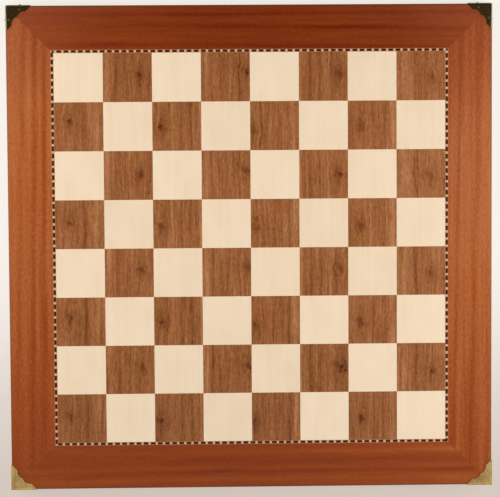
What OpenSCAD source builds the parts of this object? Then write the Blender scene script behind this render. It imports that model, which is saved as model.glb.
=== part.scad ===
// Framed chess board: veneered playing panel, dashed inlay banding, mitred rails and brass corners.
// It stands flat on the plane z = 0, playing face up, with rank 1 at -Y and its dark square at -X.

/* [Playing squares] */
// Side of one square
square = 55; // [40:1:60]
// Thickness of the face veneer and of the banding
veneer_t = 0.9; // [0.6:0.1:1.5]

/* [Inlay banding] */
// Width of each of the two light lines
line_w = 0.5; // [0.3:0.1:2]
// Width of the dashed core between the lines
core_w = 2.6; // [1.2:0.1:4]
// Length of one black dash
dash_len = 5.4; // [3:0.1:8]
// Light space between two dashes
dash_gap = 2.7; // [1.5:0.1:5]

/* [Frame] */
// Width of a rail
rail_w = 49.5; // [46:0.5:70]
// Thickness of a rail
frame_t = 22; // [21:0.5:30]
// Radius of the rail's top outer edge
edge_r = 2; // [0.5:0.25:3]
// Radius of the rail's bottom outer edge
foot_r = 1.5; // [0.5:0.25:3]

/* [Core panel] */
// Thickness of the core panel
panel_t = 12; // [9:0.5:15]
// Thickness of the back veneer
back_t = 0.6; // [0.4:0.1:1]
// Thickness of the tongue around the panel
tongue_t = 6; // [4:0.5:7]
// Length of the tongue
tongue_len = 7.5; // [4:0.5:9]

/* [Mitre splines] */
// Length of a spline along its mitre
spline_len = 30; // [16:1:32]
// Depth of a spline in each rail
spline_reach = 9; // [5:0.5:10]
// Thickness of a spline
spline_t = 4; // [3:0.5:5]
// Distance of a spline's middle from the outer edges
spline_set = 25; // [24:0.5:27]
// Height of a spline's middle above the bottom of the frame
spline_up = 10; // [6:0.5:11]

/* [Brass corners] */
// Thickness of the brass sheet
sheet_t = 0.8; // [0.5:0.1:1.2]
// Distance from the corner to each tip
corner_leg = 28.5; // [26:0.5:34]
// Distance from a tip back to the next cusp, along the edge
tip_len = 6.3; // [4:0.1:7]
// Distance of that cusp from the edge
tip_rise = 6.7; // [6:0.1:9]
// Distance of the top plate's middle cusp from both edges
cusp_in = 12.7; // [11:0.1:14]
// Depth of the top plate's scallops
scallop = 2.2; // [0.5:0.1:2.6]
// Height of a side flange
flange_h = 18; // [16:0.5:20]
// Distance of a flange's lower cusp from the corner
flange_cusp = 17; // [16:0.5:19]
// Distance of that cusp below the top of the wood
flange_drop = 12.8; // [12:0.2:14]
// Length of a flange's bottom edge
flange_foot = 9.5; // [6:0.5:12]
// Depth of a flange's scallops
flange_scallop = 1.3; // [0.5:0.1:1.6]
// Outer radius of the sheet at the corner's upright edge
upright_r = 1; // [0.2:0.1:1.2]

/* [Pins] */
// Diameter of a pin's shank
shank_d = 1.3; // [1:0.1:1.6]
// Diameter of a pin's domed head
head_d = 3; // [2.4:0.1:3.4]
// Height of a pin's head
head_h = 1.2; // [0.6:0.1:1.4]
// Distance of every pin from the corner, along the edge
pin_along = 15.8; // [14:0.1:16]
// Distance of a top pin from the edge
top_pin_in = 4.1; // [3.6:0.1:4.6]
// Depth of a top pin in the wood
top_pin_len = 5.5; // [4:0.1:6]
// Distance of a side pin below the top of the wood
side_pin_drop = 8; // [7.8:0.1:9]
// Depth of a side pin in the wood
side_pin_len = 8; // [5:0.5:9]

/* [Felt pads] */
// Diameter of a pad
pad_d = 18; // [12:1:30]
// Thickness of a pad
pad_t = 2; // [1:0.5:4]
// Distance of a pad's middle from the outer edges
pad_inset = 24; // [20:1:30]

/* [Fits] */
// Clearance around a glued tongue or spline
glue_gap = 0.1; // [0.05:0.05:0.25]
// Gap between the brass sheet and the wood
sheet_gap = 0.05; // [0.02:0.01:0.2]
// Clearance around a pin's shank
pin_gap = 0.05; // [0.02:0.01:0.15]

/* [Hidden] */
$fn = 64;
// A chess board has eight ranks and eight files
ranks = 8;
// Overshoot of a cut past the face that it opens
cut = 1;

// Half sizes on plan, from the middle outwards
field = square * ranks / 2;
band_w = 2 * line_w + core_w;
panel_half = field + band_w;
board_half = panel_half + rail_w;

// Heights above the surface that the board stands on
top_z = pad_t + frame_t;
veneer_z = top_z - veneer_t;
panel_z = veneer_z - panel_t;
tongue_z = panel_z + (panel_t - tongue_t) / 2;

// Outer face of the brass sheet, measured from the wood
sheet_out = sheet_gap + sheet_t;
// Size of the block that a brass corner is cut from
corner_far = corner_leg + cut;

// Sides and corners follow each other counterclockwise; corner N is at the start of side N
sides = ["front", "right", "back", "left"];
corners = ["front_left", "front_right", "back_right", "back_left"];
// Distances of each side's first and last light block from the two ends of its dashed core
dash_ends = [[1.3, 7.5], [4.9, 3.9], [3.7, 5.1], [0.7, 0]];

maple = "#efd9b8";
walnut = "#99653f";
mahogany = ["#8c4220", "#a9562c", "#8a3f1f", "#b05f35"];
holly = "#f0d6b0";
ebony = "#3a2010";
brass = "#a3854a";
fibreboard = "#b08b62";
birch = "#d8bd92";
felt = "#2f5d3a";

// Places its children, drawn for the front, on one of the four sides
module at_side(side) {
    rotate([0, 0, 90 * side]) children();
}

// Places its children at a corner: the wood's top corner at the origin, the board towards +X and +Y
module at_corner(corner) {
    at_side(corner) translate([-board_half, -board_half, top_z]) children();
}

// A square sheet in the middle of the board
module slab(half, z, thickness) {
    translate([-half, -half, z]) cube([2 * half, 2 * half, thickness]);
}

// Fibreboard panel with a tongue all round
module core_panel() {
    color(fibreboard) {
        slab(panel_half, panel_z, panel_t);
        slab(panel_half + tongue_len, tongue_z, tongue_t);
    }
}

// Balancing veneer under the core panel
module back_veneer() {
    color(mahogany[0]) slab(panel_half, panel_z - back_t, back_t);
}

// Every second square of a rank, from the given file on
module veneer_squares(rank, first) {
    for (file = [first:2:ranks - 1])
        translate([file * square - field, (rank - 1) * square - field, veneer_z])
            cube([square, square, veneer_t]);
}

module walnut_rank(rank) {
    color(walnut) veneer_squares(rank, (rank + 1) % 2);
}

module maple_rank(rank) {
    color(maple) veneer_squares(rank, rank % 2);
}

// Plan of a strip along the front, mitred at both ends, between two distances from the middle
module mitred_plan(inner, outer) {
    polygon([[-outer, -outer], [outer, -outer], [inner, -inner], [-inner, -inner]]);
}

// Plan of the dashes in the front strip, spaced to come out even and cut off by the mitres
module dashes_plan(ends) {
    half = panel_half - line_w;
    run = 2 * half - ends[0] - ends[1];
    count = round(run / (dash_len + dash_gap));
    pitch = run / count;
    intersection() {
        mitred_plan(field + line_w, half);
        for (i = [-1:count])
            translate([ends[0] - half + (i + 0.5) * pitch - dash_len / 2, -panel_half])
                square([dash_len, band_w]);
    }
}

module banding_dashes(side) {
    color(ebony) at_side(side) translate([0, 0, veneer_z])
        linear_extrude(veneer_t) dashes_plan(dash_ends[side]);
}

// Two light lines joined by the light blocks between the dashes
module banding_light(side) {
    color(holly) at_side(side) translate([0, 0, veneer_z])
        linear_extrude(veneer_t) difference() {
            mitred_plan(field, panel_half);
            dashes_plan(dash_ends[side]);
        }
}

// What a rounding takes off the corner of a shape that lies towards +X and +Y
module corner_waste(r) {
    difference() {
        translate([-cut, -cut]) square(r + cut);
        translate([r, r]) circle(r);
    }
}

// Section of a rail: x runs inwards from its outer face, y upwards from its bottom
module rail_section() {
    difference() {
        square([rail_w, frame_t]);
        corner_waste(foot_r);
        translate([0, frame_t]) mirror([0, 1]) corner_waste(edge_r);
        translate([rail_w - tongue_len - glue_gap, tongue_z - pad_t - glue_gap])
            square([tongue_len + glue_gap + cut, tongue_t + 2 * glue_gap]);
    }
}

// The front rail with its mitres cut
module rail_blank() {
    intersection() {
        translate([-board_half, -board_half, pad_t]) rotate([90, 0, 90])
            linear_extrude(2 * board_half) rail_section();
        translate([0, 0, pad_t - cut]) linear_extrude(frame_t + 2 * cut)
            mitred_plan(panel_half, board_half);
    }
}

// Loose tongue across the mitre of the corner at the origin, or its slot
module spline_body(gap) {
    size = [spline_len, 2 * spline_reach, spline_t];
    translate([spline_set, spline_set, spline_up - frame_t]) rotate([0, 0, 45])
        cube(size + 2 * [gap, gap, gap], center = true);
}

// Places its children on both top pins of the corner at the origin, with +Z out of the wood
module each_top_pin() {
    for (spot = [[pin_along, top_pin_in, 0], [top_pin_in, pin_along, 0]])
        translate(spot) children();
}

// Places its children on both side pins of the corner at the origin, with +Z out of the wood
module each_side_pin() {
    translate([pin_along, 0, -side_pin_drop]) rotate([90, 0, 0]) children();
    translate([0, pin_along, -side_pin_drop]) rotate([0, -90, 0]) children();
}

// Hole for a pin's shank, from a depth below the face of the wood up through the sheet
module pin_hole(depth) {
    translate([0, 0, -depth - pin_gap])
        cylinder(r = shank_d / 2 + pin_gap, h = depth + pin_gap + sheet_out + cut);
}

module corner_pin_holes() {
    each_top_pin() pin_hole(top_pin_len);
    each_side_pin() pin_hole(side_pin_len);
}

module frame_rail(side) {
    color(mahogany[side]) difference() {
        at_side(side) rail_blank();
        for (corner = [side, side + 1]) at_corner(corner) {
            spline_body(glue_gap);
            corner_pin_holes();
        }
    }
}

module mitre_spline(corner) {
    color(birch) at_corner(corner) spline_body(0);
}

// What a scallop takes off the straight line between two cusps
module scallop_waste(from, to, depth) {
    run = to - from;
    chord = norm(run);
    r = (chord * chord / 4 + depth * depth) / (2 * depth);
    out = [-run[1], run[0]] / chord;
    translate((from + to) / 2 + out * (r - depth)) circle(r);
}

// Outline of the top plate on plan, which reaches past the edges for the bends
module plate_plan() {
    back = sheet_out + cut;
    lower = [corner_leg - tip_len, tip_rise];
    middle = [cusp_in, cusp_in];
    upper = [tip_rise, corner_leg - tip_len];
    difference() {
        polygon([
            [-back, -back], [corner_leg, -back], [corner_leg, 0], lower,
            middle, upper, [0, corner_leg], [-back, corner_leg]
        ]);
        scallop_waste(middle, lower, scallop);
        scallop_waste(upper, middle, scallop);
    }
}

// Outline of a side flange: x runs from the corner along the edge, y down from the top of the wood
module flange_plan() {
    back = sheet_out + cut;
    tip = [corner_leg - tip_len, tip_rise];
    cusp = [flange_cusp, flange_drop];
    foot = [flange_foot, flange_h];
    difference() {
        polygon([
            [-back, -back], [corner_leg, -back], [corner_leg, 0], tip,
            cusp, foot, [-back, flange_h]
        ]);
        scallop_waste(cusp, tip, flange_scallop);
        scallop_waste(foot, cusp, flange_scallop);
    }
}

// The front edge of the wood at the corner, grown outwards all round
module grown_edge(grow) {
    depth = flange_h + cut;
    translate([-grow, 0, 0]) rotate([90, 0, 90]) linear_extrude(corner_far + grow)
        difference() {
            translate([-grow, -depth]) square([corner_far + grow, depth + grow]);
            translate([-grow, grow]) mirror([0, 1]) corner_waste(edge_r + grow);
        }
}

// The corner of the wood, grown outwards all round
module grown_corner(grow) {
    intersection() {
        grown_edge(grow);
        mirror([1, -1, 0]) grown_edge(grow);
    }
}

// Everything behind the front flange's outline
module flange_prism() {
    translate([0, -corner_far, 0]) rotate([-90, 0, 0])
        linear_extrude(2 * corner_far) flange_plan();
}

// Everything under the top plate's outline, with the upright edge rounded
module plate_prism() {
    translate([0, 0, -corner_far]) linear_extrude(2 * corner_far) difference() {
        plate_plan();
        translate([-sheet_out, -sheet_out]) corner_waste(upright_r);
    }
}

module brass_corner(corner) {
    color(brass) at_corner(corner) difference() {
        intersection() {
            grown_corner(sheet_out);
            plate_prism();
            flange_prism();
            mirror([1, -1, 0]) flange_prism();
        }
        grown_corner(sheet_gap);
        corner_pin_holes();
    }
}

// Pin with a domed head that stands on z = 0
module pin(length) {
    r = head_d / 2;
    dome = (r * r + head_h * head_h) / (2 * head_h);
    rotate_extrude() {
        intersection() {
            square([r, head_h]);
            translate([0, head_h - dome]) circle(dome);
        }
        translate([0, -length]) square([shank_d / 2, length]);
    }
}

module top_pins() {
    color(brass) for (corner = [0:3]) at_corner(corner) each_top_pin()
        translate([0, 0, sheet_out]) pin(sheet_out + top_pin_len);
}

module side_pins() {
    color(brass) for (corner = [0:3]) at_corner(corner) each_side_pin()
        translate([0, 0, sheet_out]) pin(sheet_out + side_pin_len);
}

module felt_pads() {
    color(felt) for (corner = [0:3]) at_corner(corner)
        translate([pad_inset, pad_inset, -top_z]) cylinder(d = pad_d, h = pad_t);
}

core_panel();
back_veneer();
for (rank = [1:ranks]) {
    maple_rank(rank);
    walnut_rank(rank);
}
for (n = [0:3]) {
    banding_light(n);
    banding_dashes(n);
    frame_rail(n);
    mitre_spline(n);
    brass_corner(n);
}
top_pins();
side_pins();
felt_pads();
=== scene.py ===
import math

import bmesh
import bpy
from mathutils import Matrix, Vector


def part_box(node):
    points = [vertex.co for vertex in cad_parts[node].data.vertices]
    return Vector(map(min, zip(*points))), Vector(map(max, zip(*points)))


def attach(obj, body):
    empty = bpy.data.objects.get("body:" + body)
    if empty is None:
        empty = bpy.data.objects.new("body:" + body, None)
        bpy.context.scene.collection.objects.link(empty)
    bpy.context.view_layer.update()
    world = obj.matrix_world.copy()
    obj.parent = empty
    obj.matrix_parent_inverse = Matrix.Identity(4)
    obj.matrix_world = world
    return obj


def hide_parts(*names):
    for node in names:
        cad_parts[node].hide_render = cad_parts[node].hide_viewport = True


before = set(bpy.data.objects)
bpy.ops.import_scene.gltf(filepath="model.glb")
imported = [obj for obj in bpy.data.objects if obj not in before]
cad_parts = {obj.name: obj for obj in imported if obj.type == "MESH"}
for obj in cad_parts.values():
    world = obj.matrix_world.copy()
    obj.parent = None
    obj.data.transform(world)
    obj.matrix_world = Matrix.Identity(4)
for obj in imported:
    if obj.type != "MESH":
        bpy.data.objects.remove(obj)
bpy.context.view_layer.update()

# Finishes and stage for a framed chess board: veneered squares, dashed banding, mitred
# rails, brass corners and felt pads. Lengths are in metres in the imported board's frame:
# +Z is up, +Y is towards the eighth rank, and the pads stand on z = 0.

bl_info = {
    "name": "Chess Board Finishes",
    "version": (1, 0, 0),
    "blender": (4, 5, 0),
    "location": "3D View > Sidebar > Chess Board",
    "description": "Gives a framed chess board its woods, brass and felt, and a plain stage",
    "category": "Object",
}

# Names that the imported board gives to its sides, and to its corners with their signs of x and y
SIDES = ("front", "right", "back", "left")
CORNERS = {
    "front_left": (-1, -1),
    "front_right": (1, -1),
    "back_right": (1, 1),
    "back_left": (-1, 1),
}
RANKS = 8

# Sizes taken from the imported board
FIRST_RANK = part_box("maple_rank_1")
SQUARE = FIRST_RANK[1].y - FIRST_RANK[0].y
BOARD_HALF = -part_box("frame_rail_front")[0].y
CORE_OUTSIDE = -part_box("banding_dashes_front")[0].y
CORE_INSIDE = -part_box("banding_dashes_front")[1].y
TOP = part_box("frame_rail_front")[1].z
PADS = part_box("felt_pads")

MM = 0.001


def shown(red, green, blue):
    """Linear colour, as shaders use it, of a colour given in display levels from 0 to 255."""
    def linear(level):
        part = level / 255
        return part / 12.92 if part <= 0.04045 else ((part + 0.055) / 1.055) ** 2.4
    return (linear(red), linear(green), linear(blue))


def colour_property(name, description, levels):
    return bpy.props.FloatVectorProperty(
        name=name, description=description, default=shown(*levels),
        size=3, min=0, max=1, subtype="COLOR",
    )


def length_property(name, description, default):
    return bpy.props.FloatProperty(
        name=name, description=description, default=default,
        min=0, subtype="DISTANCE", unit="LENGTH",
    )


def share_property(name, description, default):
    return bpy.props.FloatProperty(
        name=name, description=description, default=default,
        min=0, soft_max=2, subtype="FACTOR",
    )


# Sizes and colours that a user would change

class SquareSettings(bpy.types.PropertyGroup):
    walnut_dark: colour_property("Walnut Dark", "Darkest streaks and knots", (86, 38, 11))
    walnut_middle: colour_property("Walnut Middle", "Ground colour of the dark squares", (151, 92, 51))
    walnut_light: colour_property("Walnut Light", "Palest streaks of the dark squares", (190, 133, 91))
    maple: colour_property("Maple", "Ground colour of the light squares", (243, 220, 191))
    maple_grain: colour_property("Maple Grain", "Colour of the faint grain", (229, 202, 168))
    figure: share_property("Figure", "Strength of the walnut's streaks", 1.0)


class BandingSettings(bpy.types.PropertyGroup):
    light: colour_property("Light Blocks", "Colour of the light blocks", (206, 162, 130))
    line: colour_property("Lines", "Colour of the fine lines along both edges", (166, 116, 82))
    dark: colour_property("Dark Blocks", "Colour of the black blocks", (71, 27, 0))


class RailSettings(bpy.types.PropertyGroup):
    deep: colour_property("Deep", "Darkest tone of the rails", (100, 22, 2))
    middle: colour_property("Middle", "Middle tone of the rails", (150, 69, 23))
    pale: colour_property("Pale", "Lightest tone of the rails", (192, 115, 66))
    # Colour of the painted shade, with a grey painted sheen, on the rails' rounded outer edge
    edge_shade: colour_property("Worn Edge", "Colour of the rubbed outer edge", (92, 62, 42))
    ribbon: share_property("Ribbon", "Strength of the ribbon stripe", 1.0)
    edge: length_property("Edge", "Width of the sanded edges", 0.25 * MM)


class PanelSettings(bpy.types.PropertyGroup):
    fibreboard: colour_property("Fibreboard", "Colour of the core panel", (176, 139, 98))
    birch: colour_property("Birch", "Colour of the mitre splines", (216, 189, 146))


class BrassSettings(bpy.types.PropertyGroup):
    bright: colour_property("Bright", "Rubbed brass", (241, 203, 129))
    tarnished: colour_property("Tarnished", "Aged brass", (210, 171, 104))
    # Colour of the painted dark on the brass: painted shade on every corner's bends, and a painted
    # dark reflection on the back corners' bends and pins
    painted_dark: colour_property("Blackened", "Brass of the back corners' edges and pins", (70, 57, 32))
    # Colour of the painted pale highlight on the back corners' side bends
    rim_highlight: colour_property("Rubbed", "Brass of the back corners' side bends", (250, 236, 212))
    pins: colour_property("Pins", "Dull brass of the pins' heads", (184, 151, 93))
    edge: length_property("Edge", "Width of the filed edges", 0.15 * MM)


class PadSettings(bpy.types.PropertyGroup):
    felt: colour_property("Felt", "Colour of the felt pads", (47, 93, 58))
    bulge: length_property("Bulge", "How far the felt swells between its two faces", 0.3 * MM)
    soft_edge: length_property("Soft Edge", "Rounding of the felt's edges", 0.6 * MM)


class StageSettings(bpy.types.PropertyGroup):
    floor: colour_property("Floor", "Colour of the floor", (250, 246, 239))
    # The next two floor colours are painted shade: beside the first ranks and in front of the board
    floor_low: colour_property("Floor Low", "Floor beside the first ranks", (224, 214, 205))
    floor_near: colour_property("Floor Near", "Floor in front of the board", (212, 197, 185))
    lift: share_property("Floor Lift", "How much of the floor the camera sees unshaded", 0.78)
    sky: share_property("Sky", "Brightness of the surroundings", 0.42)
    lamp_power: bpy.props.FloatProperty(
        name="Lamp Power", description="Power of each soft lamp",
        default=11.6, min=0, subtype="POWER", unit="POWER",
    )
    lens: bpy.props.FloatProperty(
        name="Lens", description="Focal length of the camera, in millimetres",
        default=144, min=1, subtype="DISTANCE_CAMERA", unit="CAMERA",
    )


class ChessBoardSettings(bpy.types.PropertyGroup):
    squares: bpy.props.PointerProperty(type=SquareSettings)
    banding: bpy.props.PointerProperty(type=BandingSettings)
    rails: bpy.props.PointerProperty(type=RailSettings)
    panel: bpy.props.PointerProperty(type=PanelSettings)
    brass: bpy.props.PointerProperty(type=BrassSettings)
    pads: bpy.props.PointerProperty(type=PadSettings)
    stage: bpy.props.PointerProperty(type=StageSettings)


# Shader building

class Signal:
    """A value on its way between nodes. Arithmetic on it adds the Math nodes that do the sum."""

    def __init__(self, graph, socket):
        self.graph = graph
        self.socket = socket

    def sibling(self, name):
        """Another output of the same node."""
        return Signal(self.graph, self.socket.node.outputs[name])

    def maths(self, operation, *values):
        return self.graph.node(
            "ShaderNodeMath", {"operation": operation}, dict(enumerate(values))
        )

    def __add__(self, other):
        return self.maths("ADD", self, other)

    def __radd__(self, other):
        return self.maths("ADD", other, self)

    def __sub__(self, other):
        return self.maths("SUBTRACT", self, other)

    def __rsub__(self, other):
        return self.maths("SUBTRACT", other, self)

    def __mul__(self, other):
        return self.maths("MULTIPLY", self, other)

    def __rmul__(self, other):
        return self.maths("MULTIPLY", other, self)

    def __truediv__(self, other):
        return self.maths("DIVIDE", self, other)

    def __mod__(self, other):
        return self.maths("FLOORED_MODULO", self, other)

    def __neg__(self):
        return self.maths("MULTIPLY", self, -1.0)

    def __abs__(self):
        return self.maths("ABSOLUTE", self)

    def floor(self):
        return self.maths("FLOOR", self)

    def smaller(self, other):
        return self.maths("MINIMUM", self, other)

    def larger(self, other):
        return self.maths("MAXIMUM", self, other)

    def held(self):
        """The value, held between 0 and 1."""
        return self.larger(0.0).smaller(1.0)

    def bell(self, width):
        """1 where the value is 0, falling off on both sides over about the given width."""
        part = self / width
        return self.maths("EXPONENT", -(part * part))


class Graph:
    """The nodes of one material or world."""

    def __init__(self, owner):
        owner.use_nodes = True
        self.tree = owner.node_tree
        self.tree.nodes.clear()

    def node(self, kind, settings=None, values=None, output=0):
        """Adds a node, sets it up, fills or links its sockets, and gives one of its outputs."""
        made = self.tree.nodes.new(kind)
        for name, setting in (settings or {}).items():
            if name == "stops":
                set_stops(made.color_ramp, setting)
            else:
                setattr(made, name, setting)
        for name, value in (values or {}).items():
            socket = made.inputs[name]
            if isinstance(value, Signal):
                self.tree.links.new(value.socket, socket)
            else:
                socket.default_value = value
        return Signal(self, made.outputs[output]) if made.outputs else None

    def place(self):
        """Object coordinates, which are the board's own."""
        return self.node("ShaderNodeTexCoord", output="Object")

    def parts(self, vector):
        """The x, y and z of a vector."""
        x = self.node("ShaderNodeSeparateXYZ", values={"Vector": vector})
        return x, x.sibling("Y"), x.sibling("Z")

    def length(self, vector):
        return self.node("ShaderNodeVectorMath", {"operation": "LENGTH"}, {0: vector}, "Value")

    def point(self, x, y, z=0.0):
        return self.node("ShaderNodeCombineXYZ", values={"X": x, "Y": y, "Z": z})

    def noise(self, place, scale=1.0, detail=2.0, roughness=0.5):
        """Smooth noise from 0 to 1, with its middle at 0.5."""
        return self.node("ShaderNodeTexNoise", values={
            "Vector": place, "Scale": scale, "Detail": detail, "Roughness": roughness,
        })

    def swing(self, place, detail):
        """Smooth noise that swings to both sides of 0."""
        return self.noise(place, detail=detail) - 0.5

    def step(self, value, start, end):
        """Soft step from 0 at start to 1 at end."""
        return self.node("ShaderNodeMapRange", {"interpolation_type": "SMOOTHSTEP"}, {
            "Value": value, "From Min": start, "From Max": end,
        })

    def ramp(self, value, stops):
        """Colour that changes through a few (position, colour) stops."""
        return self.node("ShaderNodeValToRGB", {"stops": stops}, {"Fac": value})

    def curve(self, value, stops):
        """Smooth curve through a few (position, height) points, as a value."""
        return self.node("ShaderNodeSeparateColor", values={"Color": self.ramp(value, stops)})

    def mix(self, factor, first, second):
        """Colour between two colours; 0 is the factor's socket, 6 and 7 are the colours'."""
        return self.node(
            "ShaderNodeMix", {"data_type": "RGBA"},
            {0: factor, 6: as_colour(first), 7: as_colour(second)}, output=2,
        )

    def bump(self, height, depth):
        return self.node("ShaderNodeBump", values={"Height": height, "Distance": depth})


def as_colour(value):
    return value if isinstance(value, Signal) else (*value, 1)


def set_stops(ramp, stops):
    """Gives a colour ramp its stops, each a position with a colour or a grey level."""
    while len(ramp.elements) < len(stops):
        ramp.elements.new(1)
    for element, (position, level) in zip(ramp.elements, stops):
        element.position = position
        element.color = (*level, 1) if isinstance(level, tuple) else (level, level, level, 1)


class Finish(Graph):
    """A material, drawn in the board's own coordinates."""

    def __init__(self, name):
        self.material = bpy.data.materials.new(name)
        super().__init__(self.material)

    def surface(self, **values):
        """Ends the material with its shader."""
        sockets = {
            name.replace("_", " ").title().replace("Ior", "IOR"): value
            for name, value in values.items()
        }
        shader = self.node("ShaderNodeBsdfPrincipled", values=sockets)
        self.node("ShaderNodeOutputMaterial", values={"Surface": shader})
        return self.material


# Woods

# What a place is multiplied by in a noise is the number of its cells to a metre, or to a
# square on walnut. What is added to it only picks another part of the noise.

# Knots of the walnut leaf: place along the rank and up the square, in squares, and size
KNOTS = ((1.74, 0.53, 1.0), (3.92, 0.57, 1.1), (5.85, 0.55, 1.1), (7.72, 0.44, 0.9))
# Broad streaks of the walnut leaf: place along the rank and half width, in squares, and tone
STREAKS = (
    (1.08, 0.035, 0.20), (1.16, 0.012, -0.12), (1.28, 0.035, -0.12), (1.55, 0.03, 0.08),
    (3.10, 0.045, 0.22), (3.21, 0.025, -0.15), (3.50, 0.03, -0.07), (3.78, 0.02, -0.12),
    (5.03, 0.03, 0.16), (5.23, 0.035, -0.16), (5.42, 0.03, -0.09), (5.62, 0.04, 0.09),
    (7.05, 0.03, 0.06), (7.16, 0.04, 0.15), (7.40, 0.045, -0.15), (7.60, 0.03, -0.09),
)
# How the red, green and blue of walnut's greener and redder streaks differ from its own
GREENER = (0.99, 1.025, 0.97)
REDDER = (1.02, 0.98, 1.03)
# Painted light and shade on the walnut from the first rank to the eighth, as (share of the height,
# tone): darker at both ends, where the lamps' light falls off
RANK_TONES = ((0.0, 0.38), (0.25, 0.46), (0.5, 0.56), (0.8, 0.55), (1.0, 0.42))

# Ribbon stripes of each rail: distance from the outer edge, in millimetres, at the rail's left
# or front end and at its other end, and how dark the stripe is at those ends
RIBBONS = {
    "front": (
        (17, 18.5, 0.0, 0.13), (30, 31, 0.06, 0.12),
        (9, 10, -0.07, -0.05), (41, 41, 0.0, -0.09),
    ),
    "right": ((25.5, 13, 0.14, 0.06), (45.5, 33, 0.15, 0.05), (54, 46, 0.10, 0.08)),
    "back": ((20, 28.5, 0.05, 0.16), (10, 10, 0.11, 0.08), (42.5, 48.5, 0.09, 0.06)),
    "left": ((24, 33, 0.08, 0.17), (36.5, 43.5, 0.10, 0.19), (5, 21, 0.05, 0.09)),
}
RIBBON_WIDTH = 3.2 * MM
# Tone along each rail, from its left or front end, as (share of the length, tone). These tones are
# painted light: the left and right rails are lighter than the front and back ones, a painted sheen of
# side light on their grain, and along each rail the tone rises and falls with the side lamps' light
RAIL_TONES = {
    "front": ((0.02, 0.40), (0.15, 0.36), (0.45, 0.33), (0.8, 0.42), (0.98, 0.51)),
    "right": ((0.02, 0.5), (0.2, 0.63), (0.5, 0.78), (0.75, 0.72), (0.97, 0.47)),
    "back": ((0.02, 0.47), (0.15, 0.31), (0.45, 0.22), (0.8, 0.26), (0.98, 0.41)),
    "left": ((0.02, 0.42), (0.2, 0.54), (0.5, 0.71), (0.8, 0.77), (0.97, 0.59)),
}
# How strongly the grain of each rail is banded along its length, and mottled
BANDS = {"front": 0.18, "right": 0.36, "back": 0.18, "left": 0.18}
MOTTLE = {"front": 0.22, "right": 0.46, "back": 0.2, "left": 0.46}
# Share of white in the painted glare on the lacquer, and of the colour of the painted shade at the
# outer edge
GLARE_WHITE = 0.011
EDGE_SHADE = 0.65


def lacquer(shine=1.0):
    """Gloss of the clear lacquer on the show woods."""
    return {
        "specular_ior_level": 0.19 * shine,
        "coat_weight": 0.1 * shine,
        "coat_roughness": 0.12,
    }


def walnut_place(wood, x, y):
    """Place along and up the leaf that a rank is cut from, in squares, and the rank's number."""
    along = x / SQUARE + RANKS / 2
    height = y / SQUARE + RANKS / 2
    rank = height.floor()
    # Every second leaf is turned end for end
    turned = 1 - rank % 2
    along = along + turned * (RANKS - 2 * along)
    height = height - rank
    height = height + turned * (1 - 2 * height)
    # Successive leaves differ a little, so the figure drifts from rank to rank
    drift = wood.swing(wood.point(along * 0.5, 3.7, rank * 0.9), detail=0)
    return along + drift * 0.05, height + drift * 0.16, rank


def walnut_knots(wood, along, height, rank):
    """Place across the grain, which bends round the knots, and how dark the knots are."""
    sway = wood.swing(wood.point(along * 2.4, height * 1.6, rank * 0.21), detail=1)
    waver = wood.swing(wood.point(along * 9, height * 6, rank * 0.4 + 8), detail=1)
    grain = along + sway * 0.05 + waver * 0.01
    ragged = wood.noise(wood.point(along * 22, height * 14, rank * 1.7), detail=2) * 1.4 + 0.3
    ripple = wood.swing(wood.point(along * 7, height * 9, rank * 0.6), detail=2)
    dark = 0.0
    for knot_along, knot_height, size in KNOTS:
        left = grain - knot_along
        above = height - knot_height
        near = left.bell(0.15 * size) * above.bell(0.17 * size)
        around = left.bell(0.3 * size) * above.bell(0.4 * size)
        slanted = above + left * 0.5
        heart = left.bell(0.12 * size) * slanted.bell(0.06 * size)
        tail = (left - above * 0.15).bell(0.035 * size) * above.bell(0.25 * size)
        grain = grain - left * near * 0.6 + ripple * around * 0.12
        dark = dark + (heart * 0.15 + tail * 0.11) * ragged + near * 0.07 + around * 0.07
    return grain, dark


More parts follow.
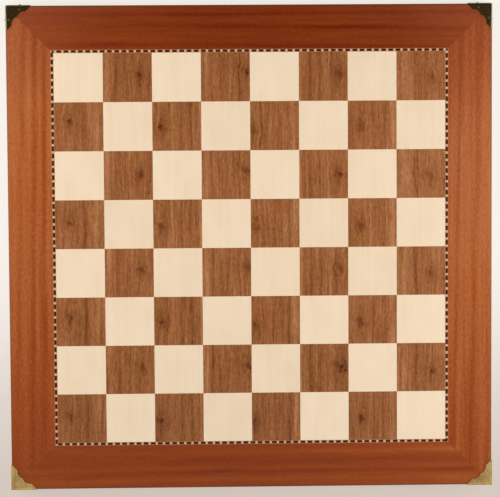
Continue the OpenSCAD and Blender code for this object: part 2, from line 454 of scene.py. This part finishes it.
def walnut_finish(colours):
    """Walnut leaf that runs along each rank, with knots, streaks, fibres and pores."""
    wood = Finish("walnut_veneer")
    x, y, _ = wood.parts(wood.place())
    along, height, rank = walnut_place(wood, x, y)
    grain, dark = walnut_knots(wood, along, height, rank)

    tone = 0.5 - dark
    for centre, width, change in STREAKS:
        tone = tone + (grain - centre).bell(width) * change
    streaks = wood.noise(wood.point(grain * 20, height * 0.8, rank * 0.2), detail=3, roughness=0.75)
    broad = wood.swing(wood.point(grain * 3.1, height * 0.4, rank * 0.1), detail=1)
    dashes = wood.swing(wood.point(grain * 25, height * 14, rank * 1.3 + 40), detail=1)
    fibres = wood.noise(wood.point(grain * 60, height * 4, rank * 2.3), detail=2, roughness=0.6)
    pores = wood.noise(wood.point(grain * 110, height * 7, rank * 3.1), detail=1)
    pores = wood.step(pores, 0.58, 0.75)
    tone = tone + (streaks - 0.5) * (1.05 * colours.figure) + broad * 0.2
    tone = tone + dashes * 0.44 + (fibres - 0.5) * 0.5 - pores * 0.16
    # The middle ranks are painted lighter and the end ranks darker, a painted light falloff; the files
    # on the right are lighter
    tone = tone + (wood.curve(y / (RANKS * SQUARE) + 0.5, RANK_TONES) - 0.5) * 0.5
    tone = tone + wood.step(x, 1.5 * SQUARE, 3.5 * SQUARE) * 0.06
    tone = tone - glue_line(wood, x, y, 0.12 * MM) * 0.5

    # Some streaks are greener and some redder
    hue = wood.noise(wood.point(grain * 8, height * 0.7, rank * 0.3 + 20), detail=2)
    browns = (colours.walnut_dark, colours.walnut_middle, colours.walnut_light)
    greener, redder = (
        wood.ramp(tone, [
            (number / 2, tuple(level * share for level, share in zip(brown, tint)))
            for number, brown in enumerate(browns)
        ])
        for tint in (GREENER, REDDER)
    )
    return wood.surface(
        base_color=wood.mix(wood.step(hue, 0.36, 0.64), greener, redder),
        roughness=0.26 + fibres * 0.14,
        normal=wood.bump(fibres * 0.4 - pores, 0.02 * MM),
        **lacquer(),
    )


def glue_line(wood, x, y, width):
    """1 at the edges of each square, falling to 0 over the line's width."""
    def to_edge(value):
        inside = value % SQUARE
        return inside.smaller(SQUARE - inside)
    return 1 - wood.step(to_edge(x).smaller(to_edge(y)), 0.0, width)


def maple_finish(colours):
    """Plain pale maple with a faint upright grain and small flecks."""
    wood = Finish("maple_veneer")
    x, y, _ = wood.parts(wood.place())
    # Each square is cut from another part of the leaf and has a shade of its own
    leaf = wood.point((x / SQUARE).floor(), (y / SQUARE).floor())
    shade = wood.node("ShaderNodeTexWhiteNoise", {"noise_dimensions": "2D"}, {"Vector": leaf})
    across = x + shade * 0.05
    streaks = wood.swing(wood.point(across * 160, y * 9), detail=2)
    broad = wood.swing(wood.point(across * 40, y * 24, 4.0), detail=1)
    flecks = wood.noise(wood.point(across * 700, y * 260, 7.0), detail=1)
    flecks = wood.step(flecks, 0.56, 0.72)
    fibres = wood.noise(wood.point(x * 1700, y * 110, 2.0), detail=1)
    amount = 0.3 + streaks * 0.54 + broad * 0.68 + flecks * 0.1
    amount = amount + (shade - 0.5) * 0.3 + (fibres - 0.5) * 0.18
    amount = amount + glue_line(wood, x, y, 0.1 * MM) * 0.5
    return wood.surface(
        base_color=wood.mix(amount.held(), colours.maple, colours.maple_grain),
        roughness=0.26 + fibres * 0.12, normal=wood.bump(fibres, 0.008 * MM),
        **lacquer(),
    )


def banding_finish(name, colour, depth, shine, line=None):
    """Fine, even wood of the banding; its tone varies by depth, and line colours its edges."""
    wood = Finish(name)
    vector = wood.place()
    blotch = wood.noise(vector, 320, 2)
    fibres = wood.noise(vector, 2600, 1)
    amount = (blotch - 0.5) * 1.1 + (fibres - 0.5) * 0.7 + 0.5
    pale = tuple(min(1, level * (1 + depth) + 0.004) for level in colour)
    deep = tuple(level * (1 - depth) for level in colour)
    base = wood.mix(amount.held(), deep, pale)
    if line:
        x, y, _ = wood.parts(vector)
        from_core = abs(abs(x).larger(abs(y)) - (CORE_INSIDE + CORE_OUTSIDE) / 2)
        core_half = (CORE_OUTSIDE - CORE_INSIDE) / 2
        base = wood.mix(wood.step(from_core, core_half, core_half + 0.06 * MM), base, line)
    return wood.surface(
        base_color=base, roughness=0.28 + fibres * 0.12, normal=wood.bump(fibres, 0.01 * MM),
        **lacquer(shine),
    )


def mahogany_colour(wood, tone, colours):
    """Red-brown for a tone from 0, the deepest, to 1, the palest."""
    return wood.ramp(tone, [
        (0.0, tuple(colours.deep)),
        (0.5, tuple(colours.middle)),
        (1.0, tuple(colours.pale)),
    ])


def ribbon_stripes(wood, side, along, face, grain):
    """How dark the ribbon stripes of a rail are; they cross it at a slant and fade in places."""
    length = along / (2 * BOARD_HALF) + 0.5
    seed = 10.0 * SIDES.index(side) + 3
    fading = wood.noise(wood.point(along * 9, face * 60, seed), detail=1)
    dark = 0.0
    for first, last, first_depth, last_depth in RIBBONS[side]:
        centre = first * MM + length * ((last - first) * MM)
        depth = first_depth + length * (last_depth - first_depth)
        dark = dark + (grain - centre).bell(RIBBON_WIDTH) * (0.6 + fading * 1.4) * depth
    return dark


def painted_glare(wood, side, vector, y):
    """How much painted glare, a white veil standing in for lamp light on the lacquer, lies towards the
    two back corners and along the right rail.
    """
    glare = wood.step(wood.length(vector), 0.26, 0.38) * wood.step(y, 0.0, 0.12)
    if side == "right":
        glare = glare.larger(wood.step(y, -0.06, 0.1) * 0.8)
    return glare


def rail_finish(side, colours):
    """Ribbon-striped mahogany whose grain runs along one rail."""
    wood = Finish("mahogany_rail_" + side)
    vector = wood.place()
    x, y, z = wood.parts(vector)
    along, sideways = (x, y) if side in ("front", "back") else (y, x)
    inwards = BOARD_HALF + sideways if side in ("front", "left") else BOARD_HALF - sideways
    seed = 10.0 * SIDES.index(side)

    # Measured over the edge and down the outer face, so that stripes run round it
    face = inwards + (TOP - z) * 0.8
    sway = wood.swing(wood.point(along * 5, face * 25, seed), detail=1)
    grain = face + sway * (3.5 * MM)
    # Painted light: the tone along the rail follows the side lamps and the sheen of the grain
    tone = wood.curve(along / (2 * BOARD_HALF) + 0.5, RAIL_TONES[side])
    tone = tone - ribbon_stripes(wood, side, along, face, grain) * colours.ribbon

    bands = wood.swing(wood.point(along * 3, grain * 210, seed + 4), detail=1)
    broad = wood.swing(wood.point(along * 14, grain * 150, seed + 5), detail=2)
    mottle = wood.swing(wood.point(along * 240, face * 420, seed + 7), detail=2)
    fibres = wood.noise(wood.point(along * 120, grain * 2600, seed + 8), detail=2, roughness=0.6)
    pores = wood.noise(wood.point(along * 260, grain * 3600, seed + 9), detail=1)
    pores = wood.step(pores, 0.60, 0.74)
    tone = tone + bands * BANDS[side] + broad * 0.24
    tone = tone + mottle * MOTTLE[side] + (fibres - 0.5) * 0.24 - pores * 0.13
    # The fine glue line of the mitres, and a painted shade with a grey painted sheen on the rounded
    # outer edge
    from_mitre = abs(abs(along) - abs(sideways))
    tone = tone - (1 - wood.step(from_mitre, 0.15 * MM, 0.5 * MM)) * 0.12
    edge_shade = 1 - wood.step(inwards.larger(TOP - z), 0.6 * MM, 2.3 * MM)
    base = mahogany_colour(wood, tone, colours)
    # Painted glare: a little white mixed in where lamp light would veil the lacquer
    base = wood.mix(painted_glare(wood, side, vector, y) * GLARE_WHITE, base, (1, 1, 1))
    return wood.surface(
        base_color=wood.mix(edge_shade * EDGE_SHADE, base, colours.edge_shade),
        roughness=0.26 + fibres * 0.12 + pores * 0.1,
        normal=wood.bump(fibres * 0.3 - pores, 0.03 * MM),
        **lacquer(),
    )


def back_veneer_finish(colours):
    """Plain mahogany veneer on the underside, with its grain along x."""
    wood = Finish("mahogany_back_veneer")
    x, y, _ = wood.parts(wood.place())
    sway = wood.swing(wood.point(x * 3, y * 9), detail=1)
    grain = y + sway * 0.02
    broad = wood.swing(wood.point(x * 2, grain * 60, 2.0), detail=2)
    fibres = wood.noise(wood.point(x * 90, grain * 2300, 5.0), detail=2)
    pores = wood.step(wood.noise(wood.point(x * 220, grain * 3300, 8.0), detail=1), 0.6, 0.74)
    tone = 0.36 + broad * 0.5 + (fibres - 0.5) * 0.25 - pores * 0.15
    return wood.surface(
        base_color=mahogany_colour(wood, tone, colours),
        roughness=0.55 + fibres * 0.12, normal=wood.bump(fibres - pores, 0.03 * MM),
    )


def fibreboard_finish(colour):
    """Raw fibreboard: short felted fibres and darker specks."""
    board = Finish("fibreboard")
    vector = board.place()
    fibres = board.noise(vector, 1300, 3, 0.7)
    clouds = board.noise(vector, 60, 2)
    specks = board.step(board.noise(vector, 2100, 0), 0.68, 0.76)
    amount = 0.5 + (fibres - 0.5) * 1.4 + (clouds - 0.5) * 0.6 - specks * 0.5
    deep = tuple(level * 0.62 for level in colour)
    pale = tuple(min(1, level * 1.25) for level in colour)
    return board.surface(
        base_color=board.mix(amount.held(), deep, pale),
        roughness=0.78 + fibres * 0.15, normal=board.bump(fibres, 0.05 * MM),
    )


def birch_finish(colour):
    """Birch plywood: thin plies, darker where the end grain shows."""
    ply = Finish("birch_ply")
    x, y, z = ply.parts(ply.place())
    ply_thickness = 0.8 * MM
    end_grain = ply.step((z / ply_thickness) % 2.0, 0.9, 1.1)
    fibres = ply.noise(ply.point(x * 500, y * 500, z * 2200), detail=2)
    amount = 0.25 + end_grain * 0.4 + (fibres - 0.5) * 0.8
    deep = tuple(level * 0.6 for level in colour)
    return ply.surface(
        base_color=ply.mix(amount.held(), colour, deep),
        roughness=0.6 + fibres * 0.15, normal=ply.bump(fibres, 0.03 * MM),
    )


# Metal and felt

# Share of the painted dark colour where the brass is painted dark: painted shade on the bends, and a
# painted dark reflection on the back corners
PAINTED_DARK_SHARE = 0.95


def at_the_back(metal, y):
    """1 towards the back corners and 0 towards the front ones."""
    return metal.step(y, 0, 0.1)


def sheet_finish(colours):
    """Sheet brass, lacquered long ago and dulled since, with clouds, specks and fine scratches."""
    metal = Finish("brass_sheet")
    vector = metal.place()
    x, y, z = metal.parts(vector)
    clouds = metal.noise(vector, 95, 3, 0.6)
    specks = metal.step(metal.noise(vector, 1500, 1), 0.62, 0.72)
    scratches = metal.noise(metal.point(x * 2600 + y * 900, y * 140 - x * 60, z * 300), detail=2)
    tarnish = metal.step(clouds, 0.36, 0.68) + specks * 0.2
    base = metal.mix(tarnish.smaller(1.0), colours.bright, colours.tarnished)
    # Where the sheet is bent down it is painted darker, a painted shade, and on the back corners more
    # deeply, as a painted dark reflection of the room; their bends at the two sides carry a painted
    # pale highlight above the darkened flanges
    back = at_the_back(metal, y)
    bend = 1 - metal.step(z, TOP, TOP + 0.7 * MM)
    flange = 1 - metal.step(z, TOP - 2.2 * MM, TOP - 1.6 * MM)
    side = metal.step(abs(x), BOARD_HALF - 2.0 * MM, BOARD_HALF - 1.0 * MM) * (1 - flange)
    # Painted highlight: the back corners' side bends take a pale cream colour
    base = metal.mix(side * back, base, colours.rim_highlight)
    painted_dark_mask = back.larger(0.3) * bend * (1 - side * back)
    return metal.surface(
        base_color=metal.mix(painted_dark_mask * PAINTED_DARK_SHARE, base, colours.painted_dark),
        metallic=1.0, roughness=0.12 + clouds * 0.1 + specks * 0.04 + scratches * 0.06,
        normal=metal.bump(scratches * 0.4 + clouds, 0.008 * MM),
    )


def pin_finish(colours):
    """Dull brass of the pins' heads, painted dark on the back corners as a painted dark reflection of
    the room.
    """
    metal = Finish("brass_pins")
    vector = metal.place()
    _, y, _ = metal.parts(vector)
    clouds = metal.noise(vector, 900, 3, 0.6)
    scratches = metal.noise(vector, 4000, 2)
    deep = tuple(level * 0.7 for level in colours.pins)
    base = metal.mix(metal.step(clouds, 0.4, 0.8), colours.pins, deep)
    painted_dark_mask = at_the_back(metal, y) * PAINTED_DARK_SHARE
    return metal.surface(
        base_color=metal.mix(painted_dark_mask, base, colours.painted_dark),
        metallic=0.4, roughness=0.42 + clouds * 0.1 + scratches * 0.06,
        normal=metal.bump(scratches * 0.4 + clouds, 0.008 * MM),
    )


def felt_finish(colour):
    """Pressed felt: matted fibres and a napped surface."""
    felt = Finish("felt")
    vector = felt.place()
    fibres = felt.noise(vector, 2400, 4, 0.75)
    mats = felt.noise(vector, 420, 2)
    amount = 0.5 + (fibres - 0.5) * 1.5 + (mats - 0.5) * 0.7
    deep = tuple(level * 0.5 for level in colour)
    pale = tuple(min(1, level * 1.6) for level in colour)
    return felt.surface(
        base_color=felt.mix(amount.held(), deep, pale),
        roughness=0.92, normal=felt.bump(fibres + mats * 0.5, 0.15 * MM),
        sheen_weight=0.4, sheen_roughness=0.5,
    )


# Dressing the board's own pieces

def dress(names, material):
    """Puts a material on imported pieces."""
    for name in names:
        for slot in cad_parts[name].material_slots:
            slot.material = material


def soften_edges(name, width):
    """Takes the sharpness off a piece's edges with modifiers; its mesh stays as packed."""
    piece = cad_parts[name]
    weld = piece.modifiers.new("joined_faces", "WELD")
    weld.merge_threshold = 0.01 * MM
    bevel = piece.modifiers.new("eased_edges", "BEVEL")
    bevel.width = width
    bevel.segments = 2
    bevel.limit_method = "ANGLE"
    bevel.angle_limit = math.radians(35)
    normals = piece.modifiers.new("even_shading", "WEIGHTED_NORMAL")
    normals.keep_sharp = True


class BoardOperator:
    """What the operators share: each of them can be undone."""
    bl_options = {"REGISTER", "UNDO"}


class BOARD_OT_camera(BoardOperator, bpy.types.Operator):
    """Places the camera almost straight above the board, a little towards its back"""
    bl_idname = "board.camera"
    bl_label = "Camera"

    eye = Vector((-0.0587, 0.1508, 2.2776))
    aim = Vector((-0.0011, -0.0009, 0.024))
    roll = math.radians(-0.362)

    def execute(self, context):
        settings = context.scene.chess_board.stage
        look = (self.aim - self.eye).normalized()
        right = look.cross(Vector((0, 1, 0))).normalized()
        turn = Matrix((right, right.cross(look), -look)).transposed()
        data = bpy.data.cameras.new("camera")
        data.lens = settings.lens
        camera = bpy.data.objects.new("camera", data)
        turn = turn @ Matrix.Rotation(self.roll, 3, "Z")
        camera.matrix_world = Matrix.Translation(self.eye) @ turn.to_4x4()
        context.scene.collection.objects.link(camera)
        context.scene.camera = camera
        return {"FINISHED"}


class BOARD_OT_squares(BoardOperator, bpy.types.Operator):
    """Gives the dark squares walnut veneer and the light squares maple veneer"""
    bl_idname = "board.squares"
    bl_label = "Playing Squares"

    def execute(self, context):
        colours = context.scene.chess_board.squares
        numbers = range(1, RANKS + 1)
        dress([f"walnut_rank_{number}" for number in numbers], walnut_finish(colours))
        dress([f"maple_rank_{number}" for number in numbers], maple_finish(colours))
        return {"FINISHED"}


class BOARD_OT_banding(BoardOperator, bpy.types.Operator):
    """Gives the inlay banding its light lines and black blocks"""
    bl_idname = "board.banding"
    bl_label = "Inlay Banding"

    def execute(self, context):
        colours = context.scene.chess_board.banding
        line = tuple(colours.line)
        light = banding_finish("holly_banding", colours.light, depth=0.1, shine=1.0, line=line)
        dark = banding_finish("ebonised_banding", colours.dark, depth=0.35, shine=0.3)
        dress([f"banding_light_{side}" for side in SIDES], light)
        dress([f"banding_dashes_{side}" for side in SIDES], dark)
        return {"FINISHED"}


class BOARD_OT_rails(BoardOperator, bpy.types.Operator):
    """Gives the four mitred rails ribbon-striped mahogany and sanded edges"""
    bl_idname = "board.rails"
    bl_label = "Frame Rails"

    def execute(self, context):
        colours = context.scene.chess_board.rails
        for side in SIDES:
            name = "frame_rail_" + side
            dress([name], rail_finish(side, colours))
            soften_edges(name, colours.edge)
        return {"FINISHED"}


class BOARD_OT_panel(BoardOperator, bpy.types.Operator):
    """Gives the core panel, its back veneer and the mitre splines their woods"""
    bl_idname = "board.panel"
    bl_label = "Core, Back and Splines"

    def execute(self, context):
        board = context.scene.chess_board
        dress(["core_panel"], fibreboard_finish(board.panel.fibreboard))
        dress(["back_veneer"], back_veneer_finish(board.rails))
        birch = birch_finish(board.panel.birch)
        dress(["mitre_spline_" + corner for corner in CORNERS], birch)
        return {"FINISHED"}


class BOARD_OT_brass(BoardOperator, bpy.types.Operator):
    """Gives the corner protectors and their pins aged brass"""
    bl_idname = "board.brass"
    bl_label = "Brass Corners and Pins"

    def execute(self, context):
        colours = context.scene.chess_board.brass
        sheet = sheet_finish(colours)
        for corner in CORNERS:
            name = "brass_corner_" + corner
            dress([name], sheet)
            soften_edges(name, colours.edge)
        dress(["top_pins", "side_pins"], pin_finish(colours))
        return {"FINISHED"}


class BOARD_OT_pads(BoardOperator, bpy.types.Operator):
    """Makes the four felt pads that the board stands on"""
    bl_idname = "board.pads"
    bl_label = "Felt Pads"

    def execute(self, context):
        settings = context.scene.chess_board.pads
        felt = felt_finish(settings.felt)
        low, high = PADS
        radius, inset = pad_place(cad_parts["felt_pads"])
        profile = pad_profile(radius, high.z - low.z, settings)
        for corner, (toward_x, toward_y) in CORNERS.items():
            centre = Vector((toward_x * inset, toward_y * inset, low.z))
            pad = felt_pad("felt_pad_" + corner, centre, radius, profile)
            pad.data.materials.append(felt)
            context.scene.collection.objects.link(pad)
            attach(pad, "root")
            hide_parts("felt_pads")
        return {"FINISHED"}


def pad_place(packed):
    """Radius of a packed pad and the distance of its middle from the board's."""
    near = [point.co for point in packed.data.vertices if point.co.x > 0 and point.co.y > 0]
    lowest = min(point.x for point in near)
    highest = max(point.x for point in near)
    return (highest - lowest) / 2, (highest + lowest) / 2


def pad_profile(radius, thickness, settings):
    """Half section of a pad: flat faces, softly rounded edges and a side that swells a little."""
    edge = settings.soft_edge
    face = radius - settings.bulge
    steps = 5
    profile = [(0.0, 0.0), (face * 0.5, 0.0), (face - edge, 0.0)]
    for number in range(1, steps + 1):
        angle = math.pi / 2 * number / steps
        profile.append((face - edge + edge * math.sin(angle), edge * (1 - math.cos(angle))))
    for number in range(1, steps):
        share = number / steps
        swell = math.sin(math.pi * share) * (radius - face)
        profile.append((face + swell, edge + (thickness - 2 * edge) * share))
    for number in range(steps + 1):
        angle = math.pi / 2 * number / steps
        profile.append((
            face - edge + edge * math.cos(angle),
            thickness - edge + edge * math.sin(angle),
        ))
    profile.append((face * 0.5, thickness))
    profile.append((0.0, thickness))
    return profile


def felt_pad(name, centre, radius, profile):
    """A round pad with the given half section."""
    around = 72
    # The cut edge of felt is never quite round: it has a few waves, which lean, in radians to
    # a metre of height, and go in by a share of the radius
    waves = 7
    slant = 90
    depth = 0.006
    shape = bmesh.new()
    rings = []
    for distance, level in profile:
        if distance == 0:
            rings.append([shape.verts.new(centre + Vector((0, 0, level)))])
            continue
        ring = []
        for number in range(around):
            angle = 2 * math.pi * number / around
            wave = 1 + math.sin(waves * angle + slant * level)
            reach = distance * (1 - depth * wave * (distance / radius))
            ring.append(shape.verts.new(centre + Vector((
                reach * math.cos(angle), reach * math.sin(angle), level,
            ))))
        rings.append(ring)
    for below, above in zip(rings, rings[1:]):
        for number in range(around):
            after = (number + 1) % around
            if len(below) == 1:
                corners = (below[0], above[after], above[number])
            elif len(above) == 1:
                corners = (below[number], below[after], above[0])
            else:
                corners = (below[number], below[after], above[after], above[number])
            shape.faces.new(corners).smooth = True
    mesh = bpy.data.meshes.new(name)
    shape.to_mesh(mesh)
    shape.free()
    return bpy.data.objects.new(name, mesh)


# Stage

FLOOR_HALF = 9.0
# Values of y between which the floor takes the painted shade beside the first ranks, and the painted
# shade in front, and distances from the board's middle between which both fade out
FLOOR_LOW = (-0.24, 0.0)
FLOOR_NEAR = (-0.34, -0.2)
FLOOR_FADE = (0.4, 1.3)

# Soft dark gap overhead, which the brass mirrors: how far its middle leans from straight up
# towards the back, and how far from its middle it starts and ends to lighten, in degrees
GAP_LEAN = 27
GAP_DARK = 32
GAP_BRIGHT = 37
# Brightness in the gap
GAP_LEVEL = 0.009
# Brightness towards the back, and what the front has more, as shares of the Sky setting
SKY_BACK = 0.85
SKY_FRONT = 0.6

# Places of the two lamps, and the width and length of each
LAMPS = {"lamp_left": (-1.0, 0.22, 0.5), "lamp_right": (1.0, -0.02, 0.5)}
LAMP_SIZE = (0.8, 1.2)


def floor_finish(settings):
    """Matt pale paper with a painted shade beside and in front of the board; it keeps the board's
    shadow too.
    """
    paper = Finish("floor_paper")
    vector = paper.place()
    x, y, _ = paper.parts(vector)
    close = 1 - paper.step(paper.length(vector), *FLOOR_FADE)
    low = close * (1 - paper.step(y, *FLOOR_LOW))
    near = close * (1 - paper.step(y, *FLOOR_NEAR))
    base = paper.mix(low, settings.floor, settings.floor_low)
    base = paper.mix(near, base, settings.floor_near)
    matt = paper.node("ShaderNodeBsdfPrincipled", values={
        "Base Color": base, "Roughness": 0.95, "Specular IOR Level": 0.1,
        "Normal": paper.bump(paper.noise(vector, 600), 0.03 * MM),
    })
    glow = paper.node("ShaderNodeEmission", values={"Color": base})
    ray = paper.node("ShaderNodeLightPath", output="Is Camera Ray")
    seen = ray.larger(ray.sibling("Is Glossy Ray")).larger(ray.sibling("Is Transmission Ray"))
    # Nothing lifts the shade under the board, so that the board stands on the floor
    outside = paper.step(abs(x).larger(abs(y)), BOARD_HALF - 4 * MM, BOARD_HALF + 2 * MM)
    lift = seen * outside * settings.lift
    blend = paper.node("ShaderNodeMixShader", values={0: lift, 1: matt, 2: glow})
    paper.node("ShaderNodeOutputMaterial", values={"Surface": blend})
    return paper.material


class BOARD_OT_stage(BoardOperator, bpy.types.Operator):
    """Makes the floor, the surroundings and two soft lamps"""
    bl_idname = "board.stage"
    bl_label = "Stage"

    def execute(self, context):
        settings = context.scene.chess_board.stage
        context.scene.view_settings.view_transform = "Standard"
        self.make_floor(context, settings)
        self.make_surroundings(context, settings)
        for name, place in LAMPS.items():
            self.make_lamp(context, name, Vector(place), settings.lamp_power)
        return {"FINISHED"}

    def make_floor(self, context, settings):
        shape = bmesh.new()
        bmesh.ops.create_grid(shape, x_segments=8, y_segments=8, size=FLOOR_HALF)
        mesh = bpy.data.meshes.new("floor")
        shape.to_mesh(mesh)
        shape.free()
        floor = bpy.data.objects.new("floor", mesh)
        context.scene.collection.objects.link(floor)
        mesh.materials.append(floor_finish(settings))

    def make_surroundings(self, context, settings):
        """Even pale light from all round, with a soft dark gap above the board."""
        world = bpy.data.worlds.new("surroundings")
        context.scene.world = world
        sky = Graph(world)
        direction = sky.node("ShaderNodeTexCoord", output="Generated")
        lean = math.radians(GAP_LEAN)
        towards_gap = sky.node("ShaderNodeVectorMath", {"operation": "DOT_PRODUCT"}, {
            0: direction, 1: (0, math.sin(lean), math.cos(lean)),
        }, "Value")
        bright_edge, dark_edge = (
            math.cos(math.radians(angle)) for angle in (GAP_BRIGHT, GAP_DARK)
        )
        outside = 1 - sky.step(towards_gap, bright_edge, dark_edge)
        _, towards_back, _ = sky.parts(direction)
        front = sky.step(-towards_back, -0.1, 0.2)
        level = settings.sky * (SKY_BACK + front * SKY_FRONT)
        level = GAP_LEVEL + outside * (level - GAP_LEVEL)
        background = sky.node("ShaderNodeBackground", values={
            "Color": (1, 0.99, 0.97, 1), "Strength": level,
        })
        sky.node("ShaderNodeOutputWorld", values={"Surface": background})

    def make_lamp(self, context, name, place, power):
        data = bpy.data.lights.new(name, "AREA")
        data.shape = "RECTANGLE"
        data.size, data.size_y = LAMP_SIZE
        data.energy = power
        lamp = bpy.data.objects.new(name, data)
        turn = (-place).to_track_quat("-Z", "Y").to_matrix().to_4x4()
        lamp.matrix_world = Matrix.Translation(place) @ turn
        lamp.visible_camera = False
        lamp.visible_glossy = False
        context.scene.collection.objects.link(lamp)


class BOARD_PT_panel(bpy.types.Panel):
    """Lists the steps that dress the board"""
    bl_idname = "BOARD_PT_panel"
    bl_label = "Chess Board"
    bl_space_type = "VIEW_3D"
    bl_region_type = "UI"
    bl_category = "Chess Board"

    def draw(self, context):
        for step in STEPS:
            self.layout.operator(step.bl_idname)


# In the order in which they run
STEPS = (
    BOARD_OT_camera,
    BOARD_OT_squares,
    BOARD_OT_banding,
    BOARD_OT_rails,
    BOARD_OT_panel,
    BOARD_OT_brass,
    BOARD_OT_pads,
    BOARD_OT_stage,
)
SETTINGS = (
    SquareSettings,
    BandingSettings,
    RailSettings,
    PanelSettings,
    BrassSettings,
    PadSettings,
    StageSettings,
    ChessBoardSettings,
)


def register():
    for group in (*SETTINGS, *STEPS, BOARD_PT_panel):
        bpy.utils.register_class(group)
    bpy.types.Scene.chess_board = bpy.props.PointerProperty(type=ChessBoardSettings)


def unregister():
    del bpy.types.Scene.chess_board
    for group in reversed((*SETTINGS, *STEPS, BOARD_PT_panel)):
        bpy.utils.unregister_class(group)


def main():
    register()
    bpy.ops.board.camera()
    bpy.ops.board.squares()
    bpy.ops.board.banding()
    bpy.ops.board.rails()
    bpy.ops.board.panel()
    bpy.ops.board.brass()
    bpy.ops.board.pads()
    bpy.ops.board.stage()
    bpy.context.view_layer.update()


if __name__ == "__main__":
    main()
